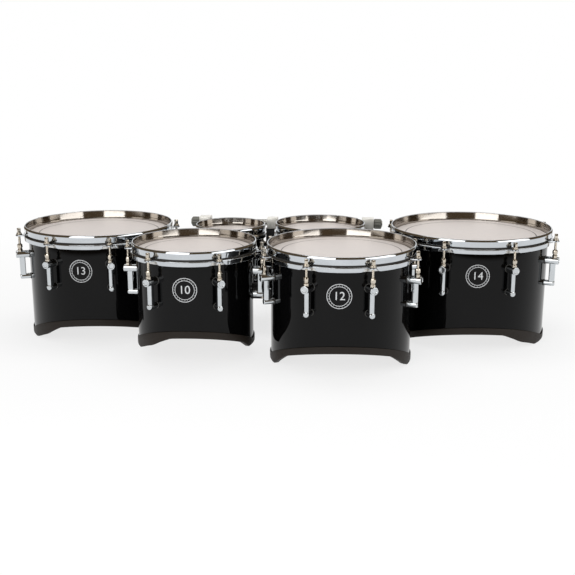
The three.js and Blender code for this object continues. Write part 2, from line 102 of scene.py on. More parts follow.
def length(name, millimetres, description):
    return FloatProperty(
        name=name, description=description, default=millimetres * MM,
        min=0, unit="LENGTH", subtype="DISTANCE",
    )


def colour(name, rgb, description):
    return FloatVectorProperty(
        name=name, description=description, default=rgb, size=3, min=0, max=1, subtype="COLOR",
    )


def power(name, watts, description):
    return FloatProperty(name=name, description=description, default=watts, min=0, unit="POWER")


class TenorSizes(bpy.types.PropertyGroup):
    """Sizes of the pieces, in metres"""

    steps: IntProperty(
        name="Steps", description="Steps round a drum", default=160, min=32, max=512,
    )
    shell_wall: length("Shell wall", 6, "Thickness of a shell")
    shell_drop: length("Shell drop", 20.9, "Rim to the top of a shell")
    guard_lip: length("Guard lip", 2.6, "Rubber on each side of the shell wall")
    guard_grip: length("Guard grip", 8, "How deep a shell stands in the rubber")
    head_drop: length("Head drop", 20, "Rim to the head")
    hoop_skirt: length("Hoop skirt", 31, "Rim to the lower edge of the hoop's skirt")
    ear_window: length("Ear window", 26, "Gap in the skirt at each ear")
    skirt_corner: length("Skirt corner", 9, "Rounding at the ends of the skirt")
    rod_out: length("Rod reach", 21, "Shell to the axis of a tension rod")
    upper_stem_drop: length("Upper stem drop", 66, "Rim to the upper stem of a lug")
    lower_stem_drop: length("Lower stem drop", 119, "Rim to the lower stem of a lug")
    badge_drop: length("Badge drop", 82, "Rim to the middle of a size badge")
    badge_radius: length("Badge radius", 26, "Half the width of a size badge")
    edge_round: length("Edge rounding", 1.2, "Rounding on the edges of bars and clamps")


class TenorColours(bpy.types.PropertyGroup):
    """Colours of the finishes"""

    lacquer: colour("Lacquer", (0.0012, 0.0012, 0.0013), "Gloss lacquer on the shells")
    ply: colour("Ply", (0.42, 0.25, 0.12), "Sealed ply inside the shells")
    film: colour("Head film", (0.735, 0.675, 0.64), "Coated film of the heads")
    chrome: colour("Chrome", (0.60, 0.63, 0.66), "Chrome of the hoops and the bar")
    # Painted shade: the chrome inside the hoops is darkened so that its reflections come out dim.
    hoop_inside: colour("Hoop inside painted shade", (0.44, 0.41, 0.375), "Chrome inside the hoops, darkened as painted shade")
    bright_chrome: colour("Lug chrome", (0.62, 0.65, 0.67), "Chrome of the lugs")
    plated: colour("Plated steel", (0.66, 0.60, 0.51), "Rods, nuts and bolts")
    rubber: colour("Rubber", (0.012, 0.0085, 0.006), "Edge guards")
    coat: colour("Powder coat", (0.018, 0.018, 0.019), "Spine, spacers and arm")
    cast: colour("Cast metal", (0.90, 0.88, 0.82), "Centre and side clamps")
    moulded: colour("Moulded plastic", (0.14, 0.138, 0.12), "Clamp knobs")
    badge: colour("Badge", (0.55, 0.56, 0.57), "Printed size badges")


class TenorStudio(bpy.types.PropertyGroup):
    """Light and camera"""

    room: colour("Room", (0.115, 0.082, 0.05), "What the metal sees of the room in front")
    soft: colour("Soft light", (0.5, 0.5, 0.5), "Light from all round")
    key: power("Key", 20, "Power of the left softbox")
    fill: power("Fill", 30, "Power of the right softbox")
    top: power("Top", 24, "Power of the softbox above")
    lens: FloatProperty(name="Lens", description="Focal length in mm", default=58.6)


class Drum:
    """Where one drum stands and what follows from its size."""

    def __init__(self, name, inches, lugs, clocking, arch_share, cut_bearing, feet):
        low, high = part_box(f"{name}_head")
        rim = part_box(f"{name}_hoop")[1].z
        self.name = name
        self.inches = inches
        self.radius = inches * INCH / 2
        self.place = Vector(((low.x + high.x) / 2, (low.y + high.y) / 2, rim))
        self.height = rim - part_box(f"{name}_edge_guard")[0].z
        self.arch = arch_share * cad_box[1].z
        self.cut_bearing = math.radians(cut_bearing)
        self.feet = [math.radians(foot) for foot in feet]
        self.clocking = math.radians(clocking)
        self.lugs = lugs
        self.bearings = [(lug + 0.5) * math.tau / lugs for lug in range(lugs)]

    def slanted_cut(self, bearing):
        """Height of the slanted cut above the level edge, most at the cut's own bearing."""
        return self.arch - CUT_SLOPE * self.radius * (1 - math.cos(bearing - self.cut_bearing))

    def guard_top(self, bearing):
        if not self.arch:
            return GUARD_LEVEL - self.height
        return max(self.slanted_cut(bearing) + GUARD_ABOVE_CUT, GUARD_LEAST) - self.height

    def guard_bottom(self, bearing):
        if not self.arch:
            return -self.height
        past = max(self.feet[0] - bearing, bearing - self.feet[1], 0) * self.radius
        foot = FOOT_DEPTH * min(past / FOOT_RUN, 1)
        return max(self.slanted_cut(bearing) - foot, 0) - self.height

    def put(self, shape):
        """Moves a shape from the drum's own frame to its place in the set."""
        turn = Matrix.Rotation(self.clocking, 3, "Z")
        bmesh.ops.rotate(shape, cent=(0, 0, 0), matrix=turn, verts=shape.verts)
        bmesh.ops.translate(shape, vec=self.place, verts=shape.verts)
        return shape


def drums():
    return [Drum(*row) for row in DRUM_ROWS]


def sizes():
    return bpy.context.scene.tenor_sizes


# Shapes

def filleted(corners, segments=4):
    """Outline through (across, along, rounding) corners, with each corner rounded."""
    outline = []
    for index, (across, along, rounding) in enumerate(corners):
        here = Vector((across, along))
        before = Vector(corners[index - 1][:2]) - here
        after = Vector(corners[(index + 1) % len(corners)][:2]) - here
        if not rounding:
            outline.append(tuple(here))
            continue
        cut = rounding / math.tan(before.angle(after) / 2)
        start = here + before.normalized() * min(cut, before.length * 0.48)
        end = here + after.normalized() * min(cut, after.length * 0.48)
        for step in range(segments + 1):
            share = step / segments
            outline.append(tuple(start.lerp(here, share).lerp(here.lerp(end, share), share)))
    return outline


def spun(outline, steps=ROUND_STEPS):
    """An outline of (radius, height) points turned once about Z, as a closed skin."""
    shape = bmesh.new()
    corners = [shape.verts.new((0, -radius, height)) for radius, height in outline]
    pairs = list(zip(corners, corners[1:]))
    if outline[0][0] > MERGE or outline[-1][0] > MERGE:
        pairs.append((corners[-1], corners[0]))
    edges = [shape.edges.new(pair) for pair in pairs]
    bmesh.ops.spin(
        shape, geom=corners + edges, cent=(0, 0, 0), axis=(0, 0, 1), dvec=(0, 0, 0),
        angle=math.tau, steps=steps, use_merge=True, use_normal_flip=False, use_duplicate=False,
    )
    bmesh.ops.remove_doubles(shape, verts=shape.verts, dist=MERGE)
    bmesh.ops.recalc_face_normals(shape, faces=shape.faces)
    return shape


def moved(shape, offset):
    bmesh.ops.translate(shape, vec=offset, verts=shape.verts)
    return shape


def turned(shape, degrees, axis):
    turn = Matrix.Rotation(math.radians(degrees), 3, axis)
    bmesh.ops.rotate(shape, cent=(0, 0, 0), matrix=turn, verts=shape.verts)
    return shape


def painted(shape, index):
    for face in shape.faces:
        face.material_index = index
    return shape


def together(shapes):
    whole = bmesh.new()
    for shape in shapes:
        part = bpy.data.meshes.new("part")
        shape.to_mesh(part)
        shape.free()
        whole.from_mesh(part)
        bpy.data.meshes.remove(part)
    return whole


def around(shape, bearings):
    """Copies a shape made at the front to every bearing."""
    first = shape.verts[:] + shape.edges[:] + shape.faces[:]
    start = shape.verts[:]
    for bearing in bearings[1:]:
        copy = bmesh.ops.duplicate(shape, geom=first)["geom"]
        corners = [part for part in copy if isinstance(part, bmesh.types.BMVert)]
        turn = Matrix.Rotation(bearing, 3, "Z")
        bmesh.ops.rotate(shape, cent=(0, 0, 0), matrix=turn, verts=corners)
    turn = Matrix.Rotation(bearings[0], 3, "Z")
    bmesh.ops.rotate(shape, cent=(0, 0, 0), matrix=turn, verts=start)
    return shape


def rise(edge):
    """How far an edge climbs."""
    return abs(edge.verts[0].co.z - edge.verts[1].co.z)


def bevelled(shape, edges, rounding, segments=3):
    bmesh.ops.bevel(
        shape, geom=edges, offset=rounding, offset_type="OFFSET", affect="EDGES",
        segments=segments, profile=0.5, material=-1, clamp_overlap=True,
    )
    return shape


def block(low, high, rounding=0.0):
    """A box between two corners, rounded along its edges."""
    shape = bmesh.new()
    bmesh.ops.create_cube(shape, size=1)
    span = Vector(high) - Vector(low)
    bmesh.ops.scale(shape, vec=span, verts=shape.verts)
    bmesh.ops.translate(shape, vec=(Vector(high) + Vector(low)) / 2, verts=shape.verts)
    if rounding:
        bevelled(shape, shape.edges[:], rounding)
    return shape


def softened(solid, rounding, crease=25):
    """A copy of a CAD node with its hard edges rounded."""
    shape = bmesh.new()
    shape.from_mesh(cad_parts[solid].data)
    bmesh.ops.remove_doubles(shape, verts=shape.verts, dist=1e-5)
    bmesh.ops.dissolve_limit(
        shape, angle_limit=math.radians(1), verts=shape.verts, edges=shape.edges,
        use_dissolve_boundaries=False,
    )
    hard = [
        edge for edge in shape.edges
        if len(edge.link_faces) == 2 and edge.calc_face_angle(0) > math.radians(crease)
    ]
    return bevelled(shape, hard, rounding, 2)


def finished(name, shape, finishes, body="root", stands_for=(), crease=32):
    """Makes a piece of the set from a shape."""
    for face in shape.faces:
        face.smooth = True
    for edge in shape.edges:
        paired = len(edge.link_faces) == 2
        edge.smooth = paired and edge.calc_face_angle(0) < math.radians(crease)
    skin = bpy.data.meshes.new(name)
    shape.to_mesh(skin)
    shape.free()
    for finish in finishes:
        skin.materials.append(finish())
    piece = bpy.data.objects.new(name, skin)
    bpy.context.scene.collection.objects.link(piece)
    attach(piece, body)
    if stands_for:
        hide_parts(*stands_for)
    return piece


# Finishes

def node(tree, kind, inputs=(), **facts):
    """Adds a node with its facts set, and its inputs set or linked."""
    made = tree.nodes.new(kind)
    for fact, value in facts.items():
        setattr(made, fact, value)
    for socket, value in dict(inputs).items():
        if isinstance(value, bpy.types.NodeSocket):
            tree.links.new(value, made.inputs[socket])
        else:
            made.inputs[socket].default_value = value
    return made


def rgba(rgb, strength=1.0):
    return (*(channel * strength for channel in rgb), 1)


def blended(tree, factor, first, second):
    """A colour between two colours."""
    mix = node(tree, "ShaderNodeMix", {0: factor, 6: first, 7: second}, data_type="RGBA")
    return mix.outputs[2]


def ranged(tree, value, low, high, to_low=0.0, to_high=1.0):
    spread = node(tree, "ShaderNodeMapRange", {
        "Value": value, "From Min": low, "From Max": high, "To Min": to_low, "To Max": to_high,
    })
    return spread.outputs["Result"]


def group(name, takes, gives, build):
    """A node group, built once. takes lists (name, kind, default), gives (name, kind)."""
    tree = bpy.data.node_groups.get(name)
    if tree:
        return tree
    tree = bpy.data.node_groups.new(name, "ShaderNodeTree")
    for label, kind, default in takes:
        socket = tree.interface.new_socket(label, in_out="INPUT", socket_type=kind)
        socket.default_value = default
    for label, kind in gives:
        tree.interface.new_socket(label, in_out="OUTPUT", socket_type=kind)
    entry = tree.nodes.new("NodeGroupInput")
    leave = tree.nodes.new("NodeGroupOutput")
    for label, socket in build(tree, entry.outputs).items():
        tree.links.new(socket, leave.inputs[label])
    return tree


def uneven_gloss():
    """Roughness that wanders between two values, with fine rubbing in it."""

    def build(tree, takes):
        place = node(tree, "ShaderNodeTexCoord").outputs["Object"]
        broad = node(tree, "ShaderNodeTexNoise", {
            "Vector": place, "Scale": takes["Scale"], "Detail": 4.0, "Roughness": 0.6,
        })
        fine = node(tree, "ShaderNodeTexNoise", {
            "Vector": place, "Scale": takes["Fine Scale"], "Detail": 2.0, "Roughness": 0.7,
        })
        both = node(tree, "ShaderNodeMath", {
            0: broad.outputs["Fac"], 1: fine.outputs["Fac"],
        }, operation="MULTIPLY").outputs[0]
        return {
            "Roughness": ranged(tree, both, 0.12, 0.42, takes["Low"], takes["High"]),
            "Mask": both,
        }

    takes = [
        ("Scale", "NodeSocketFloat", 12.0), ("Fine Scale", "NodeSocketFloat", 260.0),
        ("Low", "NodeSocketFloat", 0.05), ("High", "NodeSocketFloat", 0.12),
    ]
    gives = [("Roughness", "NodeSocketFloat"), ("Mask", "NodeSocketFloat")]
    return group("Uneven Gloss", takes, gives, build)


def fine_relief():
    """Small bumps of a given grain, as a normal, with the same grain as a mask."""

    def build(tree, takes):
        place = node(tree, "ShaderNodeTexCoord").outputs["Object"]
        grain = node(tree, "ShaderNodeTexNoise", {
            "Vector": place, "Scale": takes["Scale"], "Detail": 3.0, "Roughness": 0.55,
        })
        bump = node(tree, "ShaderNodeBump", {
            "Strength": takes["Strength"], "Distance": takes["Depth"],
            "Height": grain.outputs["Fac"],
        })
        return {"Normal": bump.outputs["Normal"], "Mask": grain.outputs["Fac"]}

    takes = [
        ("Scale", "NodeSocketFloat", 900.0), ("Strength", "NodeSocketFloat", 0.3),
        ("Depth", "NodeSocketFloat", 0.0002),
    ]
    gives = [("Normal", "NodeSocketVector"), ("Mask", "NodeSocketFloat")]
    return group("Fine Relief", takes, gives, build)


def finish(name, build):
    """A material with one Principled shader, whose inputs build returns."""
    made = bpy.data.materials.get(name)
    if made:
        return made
    made = bpy.data.materials.new(name)
    made.use_nodes = True
    tree = made.node_tree
    tree.nodes.clear()
    shader = tree.nodes.new("ShaderNodeBsdfPrincipled")
    surface = tree.nodes.new("ShaderNodeOutputMaterial")
    tree.links.new(shader.outputs["BSDF"], surface.inputs["Surface"])
    for socket, value in build(tree).items():
        if isinstance(value, bpy.types.NodeSocket):
            tree.links.new(value, shader.inputs[socket])
        else:
            shader.inputs[socket].default_value = value
    return made


def gloss(tree, scale, fine, low, high):
    inputs = {"Scale": scale, "Fine Scale": fine, "Low": low, "High": high}
    return node(tree, "ShaderNodeGroup", inputs, node_tree=uneven_gloss()).outputs


def relief(tree, scale, strength, depth):
    inputs = {"Scale": scale, "Strength": strength, "Depth": depth}
    return node(tree, "ShaderNodeGroup", inputs, node_tree=fine_relief()).outputs


def colours():
    return bpy.context.scene.tenor_colours


def lacquer():
    def build(tree):
        shine = gloss(tree, 7.0, 380.0, 0.02, 0.04)
        base = colours().lacquer
        return {
            "Base Color": blended(
                tree, ranged(tree, shine["Mask"], 0.2, 0.36), rgba(base), rgba(base, 1.8)),
            "Roughness": shine["Roughness"],
            "Normal": relief(tree, 45.0, 0.012, 0.0004)["Normal"],
            "IOR": 1.26,
        }
    return finish("Gloss lacquer", build)


def ply():
    def build(tree):
        place = node(tree, "ShaderNodeTexCoord").outputs["Object"]
        long_grain = node(tree, "ShaderNodeMapping", {
            "Vector": place, "Scale": (1, 1, 0.06),
        }).outputs["Vector"]
        figure = node(tree, "ShaderNodeTexNoise", {
            "Vector": long_grain, "Scale": 70.0, "Detail": 6.0, "Roughness": 0.6,
            "Distortion": 0.6,
        }).outputs["Fac"]
        pores = node(tree, "ShaderNodeTexNoise", {
            "Vector": long_grain, "Scale": 900.0, "Detail": 2.0, "Roughness": 0.5,
        }).outputs["Fac"]
        base = colours().ply
        grain = blended(tree, ranged(tree, figure, 0.3, 0.7), rgba(base, 0.72), rgba(base, 1.15))
        flecked = blended(tree, ranged(tree, pores, 0.62, 0.75), grain, rgba(base, 0.4))
        bump = node(tree, "ShaderNodeBump", {
            "Strength": 0.2, "Distance": 0.0002, "Height": pores,
        })
        return {
            "Base Color": flecked, "Roughness": ranged(tree, figure, 0.3, 0.7, 0.38, 0.5),
            "Normal": bump.outputs["Normal"],
        }
    return finish("Sealed ply", build)


def film():
    """Coated head film. The attribute reach is the distance from the axis over the radius."""
    def build(tree):
        reach = node(tree, "ShaderNodeAttribute", attribute_name="reach").outputs["Fac"]
        away = node(tree, "ShaderNodeMath", {0: reach, 1: 0.85}, operation="SUBTRACT")
        away = node(tree, "ShaderNodeMath", {0: away.outputs[0]}, operation="ABSOLUTE")
        line = ranged(tree, away.outputs[0], 0.005, 0.0065, 1.0, 0.0)
        coat = relief(tree, 1400.0, 0.25, 0.0002)
        broad = gloss(tree, 5.0, 60.0, 0.40, 0.52)
        base = colours().film
        cloud = blended(
            tree, ranged(tree, broad["Mask"], 0.15, 0.4), rgba(base, 0.965), rgba(base, 1.02))
        return {
            "Base Color": blended(tree, line, cloud, rgba((0.02, 0.018, 0.016))),
            "Roughness": broad["Roughness"], "Normal": coat["Normal"],
        }
    return finish("Coated film", build)


def polished(name, base, low, high, tarnish=0.9):
    """A bright metal plate whose polish and tint vary a little."""
    def build(tree):
        shine = gloss(tree, 18.0, 520.0, low, high)
        return {
            "Base Color": blended(
                tree, ranged(tree, shine["Mask"], 0.14, 0.3), rgba(base), rgba(base, tarnish)),
            "Roughness": shine["Roughness"], "Metallic": 1.0,
            "Normal": relief(tree, 120.0, 0.02, 0.0003)["Normal"],
        }
    return finish(name, build)


def chrome():
    return polished("Chrome", colours().chrome, 0.03, 0.07)


# The inside of each hoop: chrome darkened as painted shade.
def hoop_inside():
    return polished("Hoop inside painted shade", colours().hoop_inside, 0.07, 0.12)


def bright_chrome():
    return polished("Lug chrome", colours().bright_chrome, 0.05, 0.10)


def plated():
    return polished("Plated steel", colours().plated, 0.08, 0.16, 0.82)


def brushed():
    return polished("Brushed bar", (0.50, 0.50, 0.47), 0.22, 0.38)


def aluminium():
    return polished("Aluminium", (0.70, 0.70, 0.69), 0.22, 0.36)


def threaded():
    """Plated steel with a fine thread up the rod, its valleys darkened in the colour as painted
    shade.
    """
    def build(tree):
        place = node(tree, "ShaderNodeTexCoord").outputs["Object"]
        turns = node(tree, "ShaderNodeTexWave", {
            "Vector": place, "Scale": 330.0, "Distortion": 0.0,
        }, wave_type="BANDS", bands_direction="Z", wave_profile="TRI").outputs["Fac"]
        bump = node(tree, "ShaderNodeBump", {
            "Strength": 0.5, "Distance": 0.0003, "Height": turns,
        })
        shine = gloss(tree, 18.0, 520.0, 0.14, 0.24)
        base = colours().plated
        return {
            # Painted shade: the colour follows the thread's height, darkest in its valleys.
            "Base Color": blended(tree, turns, rgba(base, 0.7), rgba(base)),
            "Roughness": shine["Roughness"], "Metallic": 1.0, "Normal": bump.outputs["Normal"],
        }
    return finish("Threaded steel", build)


def dull(name, base, scale, strength, depth, low, high, lift=1.5, metallic=0.0, specular=0.5):
    """A matt finish with a fine grain in its height and colour."""
    def build(tree):
        grain = relief(tree, scale, strength, depth)
        shine = gloss(tree, 14.0, 300.0, low, high)
        return {
            "Base Color": blended(
                tree, ranged(tree, grain["Mask"], 0.35, 0.7), rgba(base), rgba(base, lift)),
            "Roughness": shine["Roughness"], "Normal": grain["Normal"], "Metallic": metallic,
            "Specular IOR Level": specular,
        }
    return finish(name, build)


def rubber():
    return dull(
        "Moulded rubber", colours().rubber, 1100.0, 0.35, 0.0002, 0.5, 0.66, specular=0.25)


def powder_coat():
    return dull("Powder coat", colours().coat, 1600.0, 0.4, 0.0002, 0.38, 0.5)


def cast_metal():
    return dull("Cast metal", colours().cast, 700.0, 0.35, 0.0003, 0.3, 0.45, 1.15, 0.3)


def moulded():
    return dull("Moulded plastic", colours().moulded, 800.0, 0.3, 0.0002, 0.26, 0.38)


# Dark fibre for the washers; the hoops also use it in the groove at the wall's foot as painted
# shade.
def fibre():
    return dull("Fibre washer and groove shade", (0.03, 0.028, 0.026), 1500.0, 0.3, 0.0002, 0.6, 0.75)


def badge_print():
    return dull("Badge print", colours().badge, 900.0, 0.1, 0.0001, 0.25, 0.35, 1.1)


# Operators

class Build:
    """What all the operators share"""

    bl_options = {"REGISTER", "UNDO"}

    def execute(self, context):
        self.build()
        return {"FINISHED"}


class TENORS_OT_shells(Build, bpy.types.Operator):
    """Ply shells with slanted lower edges, lacquered outside and sealed inside"""

    bl_idname = "tenors.shells"
    bl_label = "Shells"

    def build(self):
        wall = sizes().shell_wall
        top = -sizes().shell_drop
        for drum in drums():
            radius = drum.radius
            shape = spun(filleted([
                (radius, -drum.height, 0), (radius, top, 1.0 * MM),
                (radius - wall, top - 1.0 * MM, 1.5 * MM), (radius - wall, -drum.height, 0),
            ]), sizes().steps)
            middle = (top - drum.height) / 2
            for corner in shape.verts:
                if corner.co.z < middle:
                    bearing = math.atan2(corner.co.x, -corner.co.y)
                    corner.co.z = drum.guard_top(bearing) - sizes().guard_grip
            for face in shape.faces:
                inner = face.calc_center_median().xy.length < radius - wall / 2
                face.material_index = 1 if inner else 0
            finished(
                f"{drum.name}_shell_wall", drum.put(shape), (lacquer, ply),
                stands_for=(f"{drum.name}_shell",),
            )


class TENORS_OT_edge_guards(Build, bpy.types.Operator):
    """Rubber channels on the lower edges, thickened into feet at the sides"""

    bl_idname = "tenors.edge_guards"
    bl_label = "Edge guards"

    def build(self):
        lip = sizes().guard_lip
        grip = sizes().guard_grip
        fit = 0.3 * MM
        tall = 40 * MM
        for drum in drums():
            outer, inner = drum.radius, drum.radius - sizes().shell_wall
            shape = spun(filleted([
                (outer + lip, 0, 2.2 * MM), (outer + lip, tall, 1.8 * MM),
                (outer + fit, tall, 0.5 * MM), (outer + fit, tall - grip - fit, 0),
                (inner - fit, tall - grip - fit, 0), (inner - fit, tall, 0.5 * MM),
                (inner - lip, tall, 1.8 * MM), (inner - lip, 0, 2.2 * MM),
            ]), sizes().steps)
            for corner in shape.verts:
                bearing = math.atan2(corner.co.x, -corner.co.y)
                if corner.co.z < tall / 2:
                    corner.co.z += drum.guard_bottom(bearing)
                else:
                    corner.co.z += drum.guard_top(bearing) - tall
            finished(
                f"{drum.name}_rubber_edge", drum.put(shape), (rubber,),
                stands_for=(f"{drum.name}_edge_guard",),
            )


class TENORS_OT_heads(Build, bpy.types.Operator):
    """Coated film heads with their collars and flesh hoops"""

    bl_idname = "tenors.heads"
    bl_label = "Heads"

    def build(self):
        top = -sizes().head_drop
        under = top - 0.6 * MM
        flesh_top, flesh_foot = -22.8 * MM, -30.8 * MM
        for drum in drums():
            collar = drum.radius + 0.5 * MM
            skin = collar + 0.9 * MM
            hoop = collar + 6.9 * MM
            rings = [(drum.radius * share, top) for share in (0.25, 0.5, 0.7, 0.8, 0.9)]
            outline = [(0, top)] + rings + filleted([
                (drum.radius * 0.96, top, 0), (skin, top, 1.4 * MM), (skin, flesh_top, 0.2 * MM),
                (hoop, flesh_top, 1.5 * MM), (hoop, flesh_foot, 1.5 * MM),
                (collar, flesh_foot, 0.4 * MM), (collar, under, 0.8 * MM),
                (drum.radius * 0.96, under, 0),
            ]) + [(0, under)]
            shape = spun(outline, sizes().steps)
            reach = shape.verts.layers.float.new("reach")
            for corner in shape.verts:
                corner[reach] = corner.co.xy.length / drum.radius
            for face in shape.faces:
                middle = face.calc_center_median()
                face.material_index = 1 if middle.xy.length > skin + 0.1 * MM else 0
            finished(
                f"{drum.name}_film", drum.put(shape), (film, aluminium),
                stands_for=(f"{drum.name}_head",), crease=50,
            )


def hoop_bearings(drum, span):
    """Bearings of a hoop's rings of corners, close together where the skirt's ends are round."""
    window = sizes().ear_window / 2 / span
    corner = sizes().skirt_corner / span
    half_lug = math.pi / drum.lugs
    half = [0, window / 2, window]
    half += [window + corner * (1 - math.cos(math.radians(step * 15))) for step in range(1, 7)]
    plain = 6 if drum.lugs > 4 else 12
    start = half[-1]
    half += [start + (half_lug - start) * step / plain for step in range(1, plain + 1)]
    last = len(half) - 1
    bearings = []
    for lug in range(drum.lugs):
        for step in range(-last, last):
            offset = math.copysign(half[abs(step)], step)
            bearings.append(((lug + 0.5) * 2 * half_lug + offset, abs(offset)))
    return bearings


class TENORS_OT_hoops(Build, bpy.types.Operator):
    """Chromed hoops with a rolled rim, ears and a down-turned skirt"""

    bl_idname = "tenors.hoops"
    bl_label = "Hoops"

    def build(self):
        for drum in drums():
            finished(
                f"{drum.name}_counter_hoop", drum.put(self.hoop(drum)),
                (chrome, hoop_inside, fibre), stands_for=(f"{drum.name}_hoop",),
            )

    def hoop(self, drum):
        flange, under = -20 * MM, -22.5 * MM
        skirt = -sizes().hoop_skirt
        outline = [
            (drum.radius + across * MM, height, rounding * MM)
            for across, height, rounding in (
                (2.5, under, 0.3), (3.9, -13.2 * MM, 0.2), (4.2, -12.2 * MM, 0.2),
                (5.5, -1.4 * MM, 0.4), (5.3, 0, 0.5), (7.4, 0, 3.0),
                (8.8, -4.4 * MM, 1.0), (7.7, -16.9 * MM, 0.7), (5.0, -17.8 * MM, 0.4),
                (5.0, flange - 0.6 * MM, 0.4), (7.0, flange - 0.8 * MM, 0.4),
                (10.2, flange - 0.6 * MM, 0.8), (11.2, flange - 1.4 * MM, 0.8), (11.2, skirt, 0.9),
                (9.0, skirt, 0.9), (9.0, under, 0.8),
            )
        ]
        span = drum.radius + 10 * MM
        bearings = hoop_bearings(drum, span)
        ring = spun(filleted(outline, 3), len(bearings))
        for face in ring.faces:
            middle = face.calc_center_median()
            across = middle.xy.length - drum.radius
            # The groove at the foot of the hoop's wall is painted dark with the fibre finish:
            # painted shade.
            if 4.9 * MM < across < 6.8 * MM and flange - 0.85 * MM < middle.z < -16.8 * MM:
                face.material_index = 2
            # The inner wall of the hoop takes the darkened chrome, as painted shade.
            elif across < 5.3 * MM and middle.z > under + 0.3 * MM:
                face.material_index = 1
        window = sizes().ear_window / 2
        for corner in ring.verts:
            even = math.atan2(corner.co.x, -corner.co.y) / math.tau * len(bearings)
            bearing, offset = bearings[round(even) % len(bearings)]
            radius = corner.co.xy.length
            corner.co.x = radius * math.sin(bearing)
            corner.co.y = -radius * math.cos(bearing)
            edge = min(max((offset * span - window) / sizes().skirt_corner, 0), 1)
            share = max(math.sqrt(1 - (1 - edge) ** 2), 0.02)
            if corner.co.z < under - 0.05 * MM:
                corner.co.z = under + (corner.co.z - under) * share
        ear = self.ear(drum.radius + 6.8 * MM, drum.radius + sizes().rod_out, flange, under)
        return together([ring, around(ear, drum.bearings)])

    def ear(self, start, end, top, under):
        """A flat tab with a round end, let into the hoop's flange."""
        wide = 8 * MM
        shape = bmesh.new()
        bends = [math.radians(angle) for angle in range(0, 181, 15)]
        rim = [(wide * math.cos(bend), -end - wide * math.sin(bend)) for bend in bends]
        outline = [(wide + 1.5 * MM, -start)] + rim + [(-wide - 1.5 * MM, -start)]
        corners = [shape.verts.new((across, along, under)) for across, along in outline]
        face = shape.faces.new(corners)
        tall = bmesh.ops.extrude_face_region(shape, geom=[face])["geom"]
        bmesh.ops.translate(
            shape, vec=(0, 0, top - under),
            verts=[part for part in tall if isinstance(part, bmesh.types.BMVert)],
        )
        bmesh.ops.recalc_face_normals(shape, faces=shape.faces)
        rims = [edge for edge in shape.edges if rise(edge) < MERGE]
        return bevelled(shape, rims, 0.5 * MM, 2)


class TENORS_OT_lugs(Build, bpy.types.Operator):
    """Chromed lugs with two stems and a post, swivel nuts and the screws inside the shell"""

    bl_idname = "tenors.lugs"
    bl_label = "Lugs and swivel nuts"

    def build(self):
        upper, lower = -sizes().upper_stem_drop, -sizes().lower_stem_drop
        stem, lower_stem = 8.6 * MM, 6.4 * MM
        for drum in drums():
            radius = drum.radius
            root = radius - 1.5 * MM
            end, lower_end = radius + 31 * MM, radius + 24.5 * MM
            dish = end - 0.8 * MM
            stems = together([
                moved(turned(spun(filleted([
                    (0, root, 0), (stem, root, 0), (stem, end, 1.6 * MM),
                    (5.6 * MM, end, 0.5 * MM), (5.0 * MM, dish, 0.4 * MM), (0, dish, 0),
                ])), 90, "X"), (0, 0, upper)),
                moved(turned(spun(filleted([
                    (0, root, 0), (lower_stem, root, 0), (lower_stem, lower_end, 3.2 * MM),
                    (0, lower_end, 0),
                ])), 90, "X"), (0, 0, lower)),
                self.post(radius, lower, upper),
            ])
            gaskets = together([
                painted(moved(turned(spun(filleted([
                    (across - 0.5 * MM, root, 0), (across + 0.9 * MM, root, 0),
                    (across + 0.9 * MM, radius + 1.4 * MM, 0.5 * MM),
                    (across - 0.5 * MM, radius + 1.4 * MM, 0),
                ])), 90, "X"), (0, 0, drop)), 1)
                for across, drop in ((stem, upper), (lower_stem, lower))
            ])
            shape = together([stems, gaskets])
            finished(
                f"{drum.name}_lugs", drum.put(around(shape, drum.bearings)),
                (bright_chrome, fibre),
            )
            nut = spun(filleted([
                (0, -61.7 * MM, 0), (5.7 * MM, -61.7 * MM, 0), (5.7 * MM, -54 * MM, 1.0 * MM),
                (4.5 * MM, -52.6 * MM, 0.5 * MM), (4.5 * MM, -51 * MM, 0.5 * MM),
                (6.0 * MM, -49.6 * MM, 0.7 * MM), (6.0 * MM, -44 * MM, 1.2 * MM),
                (4.6 * MM, -41 * MM, 0.8 * MM), (3.2 * MM, -41 * MM, 0.4 * MM),
                (3.0 * MM, -43 * MM, 0), (0, -43 * MM, 0),
            ]), 36)
            for corner in nut.verts:
                if corner.co.z > -50.5 * MM and corner.co.xy.length > 4 * MM:
                    flute = 0.5 + 0.5 * math.cos(6 * math.atan2(corner.co.y, corner.co.x))
                    corner.co.xy *= 1 - 0.12 * flute
            moved(nut, (0, -(radius + sizes().rod_out), 0))
            finished(
                f"{drum.name}_swivel_nuts", drum.put(around(nut, drum.bearings)), (plated,),
            )
            inside = radius - sizes().shell_wall
            seat, face, crown = inside + 0.6 * MM, inside - 1.0 * MM, inside - 3.2 * MM
            screws = together([
                moved(turned(spun(filleted([
                    (0, crown, 0), (2.6 * MM, crown, 0.8 * MM),
                    (4.6 * MM, inside - 1.4 * MM, 0.5 * MM), (4.6 * MM, face, 0.1 * MM),
                    (7.0 * MM, face, 0.3 * MM), (7.0 * MM, seat, 0), (0, seat, 0),
                ]), 24), 90, "X"), (0, 0, drop))
                for drop in (upper, lower)
            ])
            finished(
                f"{drum.name}_lug_screws", drum.put(around(screws, drum.bearings)), (plated,),
            )

    def post(self, radius, lower, upper):
        """The bar between the two stems, with a round front."""
        half = 5.25 * MM
        inside, outside = 11 * MM, 24 * MM
        shape = block((-half, -(radius + outside), lower), (half, -(radius + inside), upper))
        middle = -(radius + (inside + outside) / 2)
        front = [
            edge for edge in shape.edges if rise(edge) > half and edge.verts[0].co.y < middle
        ]
        bevelled(shape, front, 4.6 * MM, 6)
        back = [
            edge for edge in shape.edges
            if rise(edge) > half and edge.verts[0].co.y > middle and edge.calc_face_angle(0) > 1
        ]
        return bevelled(shape, back, 1.5 * MM, 3)


